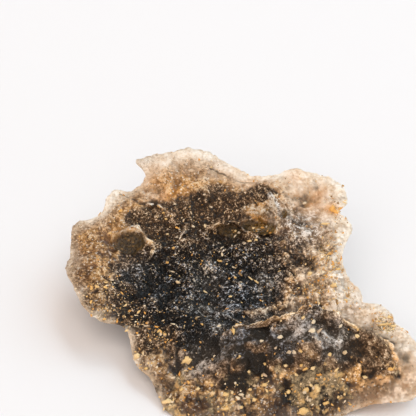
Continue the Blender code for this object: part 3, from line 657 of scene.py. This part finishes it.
def blurred(grid, reach):
    """The grid averaged over a square this many cells to each side, three times over."""
    for _ in range(3):
        for axis in (0, 1):
            sides = [(0, 0), (0, 0)]
            sides[axis] = (reach + 1, reach)
            total = np.cumsum(np.pad(grid, sides, mode="edge"), axis=axis)
            size = grid.shape[axis]
            high = np.take(total, np.arange(size) + 2 * reach + 1, axis=axis)
            low = np.take(total, np.arange(size), axis=axis)
            grid = (high - low) / (2 * reach + 1)
    return grid


def quads(index):
    """The corners of every cell of a grid of point numbers, turning left seen from above."""
    corners = [index[:-1, :-1], index[1:, :-1], index[1:, 1:], index[:-1, 1:]]
    return np.stack(corners, axis=-1).reshape(-1, 4)


def stone_surface():
    """The closed skin: the upper grid, the underside's grid and the rows that round the rim."""
    plan, coarse_plan = plan_grids()
    top, top_signs = skin(plan, True)
    low, low_signs = skin(coarse_plan, False)
    count = FINE
    half = FINE // 2
    top_index = np.arange((count + 1) ** 2).reshape(count + 1, count + 1)
    low_index = np.arange((half + 1) ** 2).reshape(half + 1, half + 1) + top_index.size
    ring = top_index[square_border(count)]
    lower_ring = low_index[square_border(half)]
    points = np.vstack([top, low])
    a = points[ring]
    b = points[lower_ring]
    b = np.stack([b, 0.5 * (b + np.roll(b, -1, axis=0))], axis=1).reshape(-1, 3)
    ahead = np.roll(a, -1, axis=0) - np.roll(a, 1, axis=0)
    outward = np.column_stack([ahead[:, 1], -ahead[:, 0], np.zeros(len(a))])
    outward /= np.linalg.norm(outward, axis=1)[:, None]
    outward *= RIM_BULGE * np.linalg.norm(a - b, axis=1)[:, None]
    faces = [quads(top_index), quads(low_index)[:, ::-1]]
    for row in range(1, RIM_ROWS + 1):
        part = row / (RIM_ROWS + 1.0)
        number = len(points) + np.arange(len(a))
        bulge = outward * np.sin(np.pi * part)
        points = np.vstack([points, a * (1 - part) + b * part + bulge])
        faces.append(np.stack([ring, number, np.roll(number, -1), np.roll(ring, -1)], axis=1))
        ring = number
    faces.append(rim_seam(ring, lower_ring))
    edge = np.zeros((RIM_ROWS * len(a), top_signs.shape[1]))
    edge[:, 0] = RIM_HOLLOW
    return (points - MIDDLE) * MM, faces, np.vstack([top_signs, low_signs, edge])


def rim_seam(fine, coarse):
    """Triangles that join a ring of points to a ring of half as many below it."""
    even = fine[::2]
    odd = fine[1::2]
    after = np.roll(even, -1)
    nearby = np.roll(coarse, -1)
    return np.concatenate([
        np.stack([even, coarse, odd], axis=1),
        np.stack([odd, coarse, nearby], axis=1),
        np.stack([odd, nearby, after], axis=1),
    ])


def mesh_from(name, points, faces, smooth=True):
    """A mesh with these points and these arrays of faces."""
    mesh = bpy.data.meshes.new(name)
    corners = [face for rows in faces for face in rows.tolist()]
    mesh.from_pydata(points.tolist(), [], corners, shade_flat=not smooth)
    mesh.validate()
    return mesh


def attribute(mesh, name, values):
    """A number for each point of the mesh that its material can read."""
    layer = mesh.attributes.new(name, "FLOAT", "POINT")
    layer.data.foreach_set("value", values.astype(np.float32))


def object_of(mesh, material):
    """The mesh as a piece that rides on the stone's body and takes this slot's finish."""
    thing = bpy.data.objects.new(mesh.name, mesh)
    bpy.context.scene.collection.objects.link(thing)
    mesh.materials.append(material)
    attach(thing, "root")
    return thing


class Nodes:
    """A short way to add and join nodes; a value is a number, a colour or a node's output."""

    def __init__(self, name):
        self.material = bpy.data.materials.new(name)
        self.material.use_nodes = True
        self.tree = self.material.node_tree
        self.shader = self.tree.nodes["Principled BSDF"]
        self.output = self.tree.nodes["Material Output"]
        self.place = self.add("ShaderNodeTexCoord").outputs["Object"]

    def add(self, kind, **values):
        """A new node with these settings."""
        node = self.tree.nodes.new(kind)
        for name, value in values.items():
            setattr(node, name, value)
        return node

    def join(self, value, socket):
        """Gives the socket a number or a colour, or links a node's output to it."""
        if isinstance(value, tuple):
            socket.default_value = value + (1.0,)
        elif isinstance(value, float):
            socket.default_value = value
        else:
            self.tree.links.new(value, socket)

    def value_of(self, name):
        """The number that the mesh holds under this name at each point."""
        return self.add("ShaderNodeAttribute", attribute_name=name).outputs["Fac"]

    def pattern(self, kind, size):
        """A pattern fixed to the stone, its features this many millimetres wide."""
        node = self.add(kind)
        node.inputs["Scale"].default_value = 1.0 / (size * MM)
        self.join(self.place, node.inputs["Vector"])
        return node

    def noise(self, size, detail=2.0, rough=0.5):
        """Smooth noise, with this many finer layers and this share of roughness."""
        node = self.pattern("ShaderNodeTexNoise", size)
        node.inputs["Detail"].default_value = detail
        node.inputs["Roughness"].default_value = rough
        return node.outputs["Fac"]

    def threads(self, size, width, low=0.0, high=1.0):
        """Thin wavy lines where noise crosses a half, high along their middles and low between."""
        off = self.math("ABSOLUTE", self.total(self.noise(size, 2.0, 0.6), -0.5))
        return self.ranged(off, 0.0, width, high, low)

    def cells(self, size):
        """The distance to the nearest of strewn points."""
        return self.pattern("ShaderNodeTexVoronoi", size).outputs["Distance"]

    def chances(self, size):
        """Two random numbers from 0 to 1 for each cell round a strewn point."""
        colour = self.pattern("ShaderNodeTexVoronoi", size).outputs["Color"]
        parts = self.add("ShaderNodeSeparateColor")
        self.join(colour, parts.inputs["Color"])
        return parts.outputs["Red"], parts.outputs["Green"]

    def math(self, kind, *values):
        """The result of this sum or comparison of the values."""
        node = self.add("ShaderNodeMath", operation=kind)
        for value, socket in zip(values, node.inputs):
            self.join(value, socket)
        return node.outputs[0]

    def times(self, first, *others):
        """The product of all these."""
        for other in others:
            first = self.math("MULTIPLY", first, other)
        return first

    def total(self, *parts):
        """The sum of the parts; a part that is a pair is a value and its weight."""
        parts = [self.times(*part) if isinstance(part, tuple) else part for part in parts]
        result = parts[0]
        for part in parts[1:]:
            result = self.math("ADD", result, part)
        return result

    def rest(self, value):
        """What the value leaves of 1."""
        return self.math("SUBTRACT", 1.0, value)

    def higher(self, a, b):
        """The greater of the two."""
        return self.math("MAXIMUM", a, b)

    def blend(self, share, a, b):
        """The value that lies this share of the way from a to b."""
        return self.total(a, self.times(share, self.math("SUBTRACT", b, a)))

    def ranged(self, value, low, high, to_low=0.0, to_high=1.0):
        """The value eased from one number to another as it goes from low to high."""
        node = self.add("ShaderNodeMapRange", interpolation_type="SMOOTHSTEP")
        for number, socket in zip((value, low, high, to_low, to_high), node.inputs):
            self.join(number, socket)
        return node.outputs["Result"]

    def ramp(self, value, *stops):
        """A colour for the value, from stops of a place and its colour."""
        node = self.add("ShaderNodeValToRGB")
        self.join(value, node.inputs["Fac"])
        elements = node.color_ramp.elements
        while len(elements) < len(stops):
            elements.new(0.5)
        for element, (place, colour) in zip(elements, stops):
            element.position = place
            element.color = colour + (1.0,)
        return node.outputs["Color"]

    def mix(self, share, a, b):
        """The colour that lies this share of the way from a to b."""
        node = self.add("ShaderNodeMix", data_type="RGBA")
        for value, name in ((share, "Factor"), (a, "A"), (b, "B")):
            self.join(value, node.inputs[name])
        return node.outputs["Result"]

    def bump(self, height, distance, strength=1.0, before=None):
        """A normal that follows this height, of this many millimetres, on top of the one before."""
        node = self.add("ShaderNodeBump")
        self.join(height, node.inputs["Height"])
        self.join(distance * MM, node.inputs["Distance"])
        self.join(strength, node.inputs["Strength"])
        if before is not None:
            self.join(before, node.inputs["Normal"])
        return node.outputs["Normal"]


def glass_material():
    """Smoky glass that darkens with depth, under a pitted skin that scatters light in specks, with
    painted glints, sheen, shade and glow in its colour.
    """
    n = Nodes("smoky_glass")
    shader = n.shader
    shader.inputs["IOR"].default_value = GLASS_IOR
    shader.inputs["Specular IOR Level"].default_value = 0.1
    hollow, sunken, soil, amber, rim, worn, white, pool, coarse, clear = map(
        n.value_of,
        ("hollow", "sunken", "soil", "amber", "rim", "pale", "frost_and_highlight", "pool", "coarse", "clear"),
    )
    grit = n.noise(0.26, 3.0, 0.7)
    drift = n.noise(1.1, 3.0, 0.6)
    clump = n.noise(0.7, 2.0, 0.5)
    grain, tone = n.chances(0.13)

    # How low each place lies, as painted shade: pits, sunken hollows and the painted pit shade
    # darken the colour, and raised places are painted lighter. Then the specks of its skin: fine
    # ones, or coarse ones at the front.
    painted_relief_shade = n.ranged(sunken, -1.0, 1.0, -0.1, 0.22)
    low = n.total((hollow, 0.14), painted_relief_shade, (white, -0.06), (n.value_of("painted_pit_shade"), 0.16))
    patchy = n.total(n.noise(0.5, 1.0), -0.385)
    fine = n.total((grain, 0.46), (n.threads(0.4, 0.06), 0.3), (grit, 0.88), (patchy, 0.6))
    blot = n.total((clump, 1.4), (fine, 0.25), -0.1)
    fine = n.blend(n.times(coarse, 0.62), fine, blot)
    speck = n.total(fine, -0.3, (low, -1.0))
    # The sunken places also get darker glass here: painted shade.
    smoke = n.total(n.value_of("smoke"), (sunken, 0.3), (worn, -0.3))

    # Thin glass: tan where it is dull and cream where it is clear, the cream partly a painted glow
    # of light shining through, with painted glints and dark flecks.
    wisps = n.threads(0.5, 0.05, -0.03, 0.1)
    veil = n.total(n.noise(0.45, 5.0, 0.75), (low, -0.6), (n.total(speck, -0.5), 0.44), wisps)
    tan = n.ramp(
        veil,
        (0.16, (0.12, 0.05, 0.014)), (0.32, (0.36, 0.17, 0.045)), (0.44, (0.64, 0.365, 0.135)),
        (0.56, (0.90, 0.60, 0.31)), (0.72, (1.0, 0.85, 0.60)),
    )
    cream = n.ramp(
        n.blend(n.times(clear, 0.5), veil, drift),
        (0.08, (0.50, 0.32, 0.17)), (0.26, (0.86, 0.67, 0.46)), (0.4, (1.0, 0.88, 0.72)),
        (0.58, (1.0, 0.97, 0.90)),
    )
    thin = n.mix(clear, tan, cream)
    thin = n.mix(amber, thin, (0.90, 0.40, 0.06))
    # Painted glints: the brightest grains of thin glass are coloured near white.
    painted_glint = n.times(n.ranged(grain, 0.92, 0.96), n.ranged(clear, 0.3, 0.9, 0.8, 0.1))
    thin = n.mix(painted_glint, thin, (1.0, 0.95, 0.84))
    fleck = n.times(n.ranged(grain, 0.05, 0.09, 0.7, 0.0), n.ranged(clear, 0.3, 0.9, 1.0, 0.2))
    thin = n.mix(fleck, thin, (0.16, 0.075, 0.025))

    # Thick glass: brown, then black with grey-blue or warm specks; the grey-blue is partly a
    # painted sheen of cool light, and the brightest specks of each ramp are painted glints.
    brown = n.ramp(
        speck,
        (0.15, (0.014, 0.008, 0.004)), (0.4, (0.085, 0.048, 0.024)), (0.56, (0.22, 0.135, 0.075)),
        (0.72, (0.52, 0.36, 0.22)), (0.95, (1.0, 0.86, 0.66)),
    )
    grey_sheen = n.ramp(
        speck,
        (0.34, (0.0, 0.0, 0.0)), (0.46, (0.014, 0.014, 0.014)), (0.56, (0.062, 0.069, 0.082)),
        (0.7, (0.16, 0.178, 0.212)), (0.95, (0.82, 0.88, 0.96)),
    )
    warm = n.ramp(
        speck,
        (0.34, (0.0, 0.0, 0.0)), (0.46, (0.016, 0.012, 0.008)), (0.56, (0.080, 0.057, 0.037)),
        (0.7, (0.205, 0.15, 0.1)), (0.95, (1.0, 0.86, 0.66)),
    )
    grey_sheen_share = n.total((tone, 0.5), (drift, 0.6), (n.value_of("grey_sheen"), 0.35))
    black = n.mix(n.ranged(grey_sheen_share, 0.5, 0.85), warm, grey_sheen)
    black = n.mix(n.times(coarse, 0.16), black, (0.15, 0.12, 0.09))
    black = n.mix(n.value_of("brown"), black, brown)
    colour = n.mix(n.ranged(smoke, 0.08, 0.4), thin, brown)
    colour = n.mix(n.ranged(smoke, 0.4, 0.75), colour, black)

    # Etched white patches with their painted highlights, worn ribs, dark cracks, the pale broken
    # rim with its painted light, and the smooth hollows.
    frost_and_highlight_colour = n.ramp(
        speck,
        (0.24, (0.07, 0.054, 0.042)), (0.38, (0.25, 0.215, 0.18)), (0.5, (0.62, 0.58, 0.53)),
        (0.66, (0.98, 0.95, 0.90)),
    )
    colour = n.mix(n.times(white, n.ranged(speck, 0.1, 0.55, 0.6, 1.0)), colour, frost_and_highlight_colour)
    worn_glass = n.ramp(
        n.total(speck, (worn, 0.1)),
        (0.25, (0.32, 0.18, 0.075)), (0.55, (0.86, 0.65, 0.40)), (0.8, (1.0, 0.92, 0.78)),
    )
    worn_share = n.times(n.ranged(worn, 0.2, 0.7), n.ranged(speck, 0.25, 0.55, 0.3, 1.0))
    colour = n.mix(worn_share, colour, worn_glass)
    colour = n.mix(n.ranged(worn, -0.2, -0.7, 0.0, 0.85), colour, (0.04, 0.022, 0.01))
    # Painted light: the rim is coloured pale cream as if lit through its thin edge.
    edge = n.times(
        rim,
        n.ranged(smoke, 0.0, 0.5, 0.6, 0.0),
        n.ranged(clear, 0.3, 0.9, 1.0, 0.2),
        n.ranged(speck, 0.15, 0.45, 0.2, 0.8),
    )
    colour = n.mix(edge, colour, (0.9, 0.74, 0.54))
    floor = n.ramp(
        n.total(grit, (amber, 0.08)),
        (0.3, (0.04, 0.024, 0.004)), (0.5, (0.11, 0.066, 0.012)), (0.62, (0.22, 0.125, 0.02)),
        (0.72, (0.80, 0.36, 0.04)),
    )
    colour = n.mix(pool, colour, floor)

    # Dry soil over it all: dust in the grit, and thicker cakes.
    dust = n.ranged(n.total((grit, 0.8), (soil, 0.16)), 0.58, 0.66)
    caked = n.total(n.blend(n.times(coarse, 0.65), grit, clump), (soil, 0.4))
    cake = n.ranged(caked, 0.66, 0.82)
    dry = n.ramp(
        n.blend(n.times(coarse, 0.6), speck, n.total((caked, 1.2), (grain, 0.2), -0.74)),
        (0.15, (0.07, 0.055, 0.036)), (0.4, (0.27, 0.205, 0.12)), (0.6, (0.62, 0.47, 0.28)),
        (0.85, (0.96, 0.80, 0.53)),
    )
    dry = n.mix(n.times(n.ranged(drift, 0.5, 0.64, 0.0, 0.6), coarse), dry, (0.80, 0.50, 0.19))
    stain = n.higher(dust, cake)
    n.join(n.mix(stain, colour, dry), shader.inputs["Base Color"])

    # How much of the light stays at the skin: soil, smoke and milky veils let little through. Clear
    # glass and the rim also keep most of it in their pale colour, a painted glow standing in for
    # light shining through the thin glass.
    thick = n.ranged(smoke, 0.1, 0.6)
    bulky = n.higher(thick, n.value_of("bulk"))
    cover = n.higher(n.blend(bulky, 0.55, 0.96), n.times(clear, 0.86))
    cover = n.times(cover, n.rest(n.times(pool, 0.7)))
    milk = n.blend(thick, n.ranged(veil, 0.25, 0.5, 0.4, 1.0), n.ranged(speck, -0.3, 0.3))
    opaque = n.higher(n.higher(stain, n.times(milk, cover)), n.times(rim, 0.6))
    n.join(n.rest(opaque), shader.inputs["Transmission Weight"])
    matt = n.higher(opaque, n.times(worn, 1.5))
    n.join(n.ranged(matt, 0.0, 1.0, 0.25, 0.6), shader.inputs["Roughness"])
    rough = n.times(n.ranged(smoke, 0.0, 0.5, 0.25, 1.0), n.rest(n.times(coarse, 0.6)))
    folds = n.bump(n.noise(0.8, 2.0, 0.5), 0.12)
    granules = n.bump(n.cells(0.3), 0.1, rough, folds)
    n.join(n.bump(grit, 0.1, rough, granules), shader.inputs["Normal"])
    depth = n.add("ShaderNodeVolumeAbsorption")
    depth.inputs["Color"].default_value = GLASS_TINT
    depth.inputs["Density"].default_value = GLASS_DENSITY
    n.join(depth.outputs["Volume"], n.output.inputs["Volume"])
    return n.material


def soil_material():
    """Dry soil: a ramp over each grain's own shade, from loam through rust and ochre to cream."""
    n = Nodes("dry_soil")
    colour = n.ramp(
        n.total((n.value_of("shade"), 0.8), (n.noise(0.1, 3.0), 0.25)),
        (0.05, (0.20, 0.12, 0.05)), (0.25, (0.45, 0.28, 0.12)), (0.4, (0.80, 0.38, 0.08)),
        (0.52, (0.76, 0.50, 0.19)), (0.62, (0.90, 0.68, 0.36)), (0.74, (0.58, 0.43, 0.29)),
        (0.98, (0.96, 0.84, 0.60)),
    )
    n.join(colour, n.shader.inputs["Base Color"])
    n.shader.inputs["Roughness"].default_value = 0.85
    n.shader.inputs["IOR"].default_value = 1.45
    return n.material


def grain_shape():
    """A grain's corners and faces: two points joined by two rings of five, half a step apart."""
    corners = [(0.0, 0.0, 1.0)]
    for height, start in ((0.4, 0.0), (-0.4, 0.5)):
        for i in range(5):
            turn = 2.0 * np.pi * (i + start) / 5.0
            corners.append((np.cos(turn), np.sin(turn), height))
    corners = np.array(corners + [(0.0, 0.0, -1.0)])
    faces = []
    for i in range(5):
        near = 1 + i
        after = 1 + (i + 1) % 5
        under = 6 + i
        beyond = 6 + (i + 1) % 5
        faces += [(0, near, after), (near, under, after), (after, under, beyond)]
        faces.append((11, beyond, under))
    return corners, np.array(faces)


def rounder(corners, faces):
    """The shape with each triangle cut into four and the new corners pushed out to its round."""
    edges = np.concatenate([faces[:, [0, 1]], faces[:, [1, 2]], faces[:, [2, 0]]])
    edges = np.sort(edges, axis=1)
    pairs, place = np.unique(edges, axis=0, return_inverse=True)
    middle = place.reshape(3, -1).T + len(corners)
    between = corners[pairs].mean(axis=1)
    between *= 1.0 / np.maximum(np.linalg.norm(between, axis=1)[:, None], 0.7)
    a, b, c = faces.T
    ab, bc, ca = middle.T
    split = np.concatenate([
        np.stack([a, ab, ca], axis=1),
        np.stack([ab, b, bc], axis=1),
        np.stack([ca, bc, c], axis=1),
        np.stack([ab, bc, ca], axis=1),
    ])
    return np.vstack([corners, between]), split


def grains(points, normals, chosen, sizes, ways, shape, source):
    """Pieces of this shape at the chosen points of the skin, half sunk, each along its way."""
    count = len(chosen)
    corners, faces = shape
    height = source.uniform(0.35, 0.8, count) * sizes[:, 1]
    normal = normals[chosen]
    other = np.cross(normal, ways)
    other /= np.linalg.norm(other, axis=1)[:, None]
    side = np.cross(other, normal)
    jitter = 1.0 + 1.6 / np.sqrt(len(corners)) * source.normal(size=(count, len(corners), 1))
    shape = corners[None] * np.clip(jitter, 0.3, 1.9)
    place = (
        points[chosen][:, None, :]
        + shape[..., 0:1] * sizes[:, 0, None, None] * side[:, None, :]
        + shape[..., 1:2] * sizes[:, 1, None, None] * other[:, None, :]
        + (shape[..., 2:3] + 0.2) * height[:, None, None] * normal[:, None, :]
    )
    number = np.arange(count)[:, None, None] * len(corners) + faces[None]
    return place.reshape(-1, 3), number.reshape(-1, 3)


def strewn(points, normals, density, sizes, shades, shape, seed):
    """Pieces scattered over the skin, more where density is high, and their shades."""
    source = np.random.RandomState(seed)
    count = len(sizes)
    chosen = source.choice(len(points), count, replace=False, p=density / density.sum())
    both = np.column_stack([sizes * source.uniform(0.8, 2.2, count), sizes])
    ways = source.normal(size=(count, 3))
    place, number = grains(points, normals, chosen, both, ways, shape, source)
    return place, number, np.repeat(source.uniform(*shades, count), len(shape[0]))


def placed(points, normals, table, shape, seed):
    """Pieces at the table's places on the upper skin, and their shades."""
    x, y, length, width, turn, shade = np.array(table).T
    upper = np.nonzero(normals[:, 2] > 0.2)[0]
    plan = points[upper, :2] + MIDDLE[:2]
    chosen = [upper[np.hypot(plan[:, 0] - a, plan[:, 1] - b).argmin()] for a, b in zip(x, y)]
    ways = np.column_stack([np.cos(turn), np.sin(turn), np.zeros(len(x))])
    both = np.column_stack([length, width])
    place, number = grains(points, normals, chosen, both, ways, shape, np.random.RandomState(seed))
    return place, number, np.repeat(shade, len(shape[0]))


def blobs(points, table):
    """The sum of the table's soft round patches over the plan: x, y, radius, amount."""
    total = np.zeros(len(points))
    for x, y, radius, amount in table:
        total += amount * np.exp(-(((points[:, 0] - x) ** 2 + (points[:, 1] - y) ** 2) / radius**2))
    return total


def table_top():
    """A white table far wider than the view."""
    mesh = bpy.data.meshes.new("table")
    ways = ((-1, -1), (1, -1), (1, 1), (-1, 1))
    corners = [(x * TABLE_HALF, y * TABLE_HALF, 0.0) for x, y in ways]
    mesh.from_pydata(corners, [], [(0, 1, 2, 3)])
    n = Nodes("white_table")
    n.shader.inputs["Base Color"].default_value = (0.828, 0.837, 0.862, 1.0)
    n.shader.inputs["Roughness"].default_value = 0.9
    n.shader.inputs["Specular IOR Level"].default_value = 0.1
    mesh.materials.append(n.material)
    thing = bpy.data.objects.new("table", mesh)
    bpy.context.scene.collection.objects.link(thing)


def aim(thing, spot):
    """Turns a lamp or the camera to face a spot."""
    away = np.array(spot) - np.array(thing.location)
    yaw = np.arctan2(away[1], away[0]) - np.pi / 2
    pitch = np.arctan2(away[2], np.hypot(away[0], away[1])) + np.pi / 2
    thing.rotation_euler = (pitch, 0.0, yaw)


def spot_at(azimuth, elevation, distance):
    """A place this far from the origin; azimuth 0 is behind the stone and turns to its right."""
    a, e = np.radians((azimuth, elevation))
    return distance * np.array([np.sin(a) * np.cos(e), np.cos(a) * np.cos(e), np.sin(e)])


def lamp(name, azimuth, elevation, distance, size, brightness, colour):
    """A square soft lamp facing the stone."""
    light = bpy.data.lights.new(name, "AREA")
    light.shape = "SQUARE"
    light.size = size
    light.energy = brightness * np.pi * size * size
    light.color = colour
    thing = bpy.data.objects.new(name, light)
    thing.location = spot_at(azimuth, elevation, distance)
    bpy.context.scene.collection.objects.link(thing)
    aim(thing, (0.0, 0.0, 0.0))


def light_and_camera():
    """A sky that is bright at the horizon and dims upwards, three soft lamps and the camera."""
    scene = bpy.context.scene
    scene.view_settings.view_transform = "Standard"
    world = bpy.data.worlds.new("studio")
    world.use_nodes = True
    scene.world = world
    tree = world.node_tree
    sky = tree.nodes["Background"]
    place = tree.nodes.new("ShaderNodeTexCoord")
    parts = tree.nodes.new("ShaderNodeSeparateXYZ")
    tree.links.new(place.outputs["Generated"], parts.inputs["Vector"])
    fade = tree.nodes.new("ShaderNodeValToRGB")
    tree.links.new(parts.outputs["Z"], fade.inputs["Fac"])
    for element, (height, colour) in zip(fade.color_ramp.elements, SKY):
        element.position = height
        element.color = colour
    tree.links.new(fade.outputs["Color"], sky.inputs["Color"])
    sky.inputs["Strength"].default_value = SKY_STRENGTH
    for row in LAMPS:
        lamp(*row)
    camera = bpy.data.cameras.new("camera")
    camera.sensor_width = 36.0
    camera.lens = 36.0 * CAMERA_AWAY / VIEW_WIDTH
    camera.clip_start = 0.01
    camera.clip_end = 10.0
    thing = bpy.data.objects.new("camera", camera)
    scene.collection.objects.link(thing)
    target = (CAMERA_TARGET - MIDDLE) * MM
    thing.location = target + spot_at(180.0, CAMERA_RISE, CAMERA_AWAY * MM)
    aim(thing, target)
    scene.camera = thing


def stone():
    """The skin with its finishes' shares at each point, and the soil on it.

    A share is the sum of its patches, and random lumps are added to smoke and clear glass so that
    no patch is round. Soil gathers in the hollows, and clear glass along the rim. Loose grains
    are likely in the hollows of soil patches that face up, and fewer at the front.
    """
    points, faces, signs = stone_surface()
    hollow, sunken, way, pool, thickness, pale, white = signs.T
    mesh = mesh_from("moldavite_skin", points, faces)
    plan = points / MM + MIDDLE
    normals = np.zeros(len(points) * 3, dtype=np.float32)
    mesh.vertices.foreach_get("normal", normals)
    normals = normals.reshape(-1, 3)
    upper = np.clip(normals[:, 2] * 1.5, 0.0, 1.0)
    front = FRONT - plan[:, 1] + 0.8 * lumps(plan, 2.5, 90)
    front = np.clip(front / FRONT_REACH, 0.0, 1.0)
    soil = blobs(plan, SOIL_PATCHES)
    dirt = (0.1 + soil) * (0.9 + 1.5 * lumps(plan, 0.9, 93)) * (1.0 - pool)
    smoke = blobs(plan, SMOKE_PATCHES) + layers(lumps, plan, SMOKE_LUMPS, 91)
    smoke = np.clip(smoke - 0.12, 0.0, 1.0)
    clear = blobs(plan, CLEAR_PATCHES) + 0.5 * np.exp(-((way / 0.8) ** 2)) - 0.6 * smoke
    clear += 0.25 * lumps(plan, 1.8, 94) + 0.2 * lumps(plan, 0.6, 99)
    shares = {
        "amber": blobs(plan, AMBER_PATCHES),
        "brown": blobs(plan, BROWN_PATCHES),
        "bulk": thickness / 1.6 - 1.0,
        "clear": clear,
        "coarse": front,
        "grey_sheen": blobs(plan, GREY_SHEEN_PATCHES),
        "frost_and_highlight": blobs(plan, FROST_AND_HIGHLIGHT_PATCHES) * upper + white,
        "hollow": hollow,
        "pool": pool,
        "rim": np.exp(-((way / 0.4) ** 2)),
        "smoke": smoke,
        "soil": dirt * (0.5 + 0.8 * hollow),
    }
    for name, share in shares.items():
        attribute(mesh, name, np.clip(share, 0.0, 1.0))
    # Painted shade in the deepest pits.
    attribute(mesh, "painted_pit_shade", np.clip(blobs(plan, SHADE_PATCHES), 0.0, 1.5))
    attribute(mesh, "pale", pale)
    attribute(mesh, "sunken", np.clip(sunken, -1.0, 1.0))
    thing = object_of(mesh, glass_material())
    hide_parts("moldavite")
    likely = (0.016 + soil) * (0.15 + hollow) * (0.12 + 0.88 * upper) * (1.0 - 0.75 * front)
    caked = soil**2 * upper * (plan[:, 1] < CLODS_BEFORE)
    loose_soil(points / MM, normals, likely, caked)


def loose_soil(points, normals, likely, caked):
    """Small grains where soil is likely, the biggest in their places, and clods on caked soil."""
    finish = soil_material()
    sharp = grain_shape()
    blunt = rounder(*sharp)
    source = np.random.RandomState(5)
    large = source.power(0.25, GRAINS) * source.uniform(0.4, 1.0, GRAINS)
    sizes = GRAIN_SIZES[0] + large * (GRAIN_SIZES[1] - GRAIN_SIZES[0])
    clod_sizes = source.uniform(*CLOD_SIZES, CLODS)
    small = strewn(points, normals, likely, sizes, (0.0, 1.0), sharp, 6)
    scatter("soil_grains", small, finish, False)
    scatter("soil_big_grains", placed(points, normals, BIG_GRAINS, blunt, 8), finish, True)
    clods = strewn(points, normals, caked, clod_sizes, (0.42, 1.0), blunt, 7)
    scatter("soil_clods", clods, finish, True)


def scatter(name, pieces, finish, smooth):
    """One mesh of all the pieces, none of them under the table."""
    place, number, shade = pieces
    place[:, 2] = np.maximum(place[:, 2], 0.0)
    mesh = mesh_from(name, place * MM, [number], smooth)
    attribute(mesh, "shade", shade)
    object_of(mesh, finish)


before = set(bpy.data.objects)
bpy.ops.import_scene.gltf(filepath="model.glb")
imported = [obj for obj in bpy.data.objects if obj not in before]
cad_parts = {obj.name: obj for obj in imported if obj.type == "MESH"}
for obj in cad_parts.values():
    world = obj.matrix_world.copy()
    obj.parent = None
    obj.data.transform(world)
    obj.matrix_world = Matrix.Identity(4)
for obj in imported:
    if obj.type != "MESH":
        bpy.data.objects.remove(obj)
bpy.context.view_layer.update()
stone()
table_top()
light_and_camera()
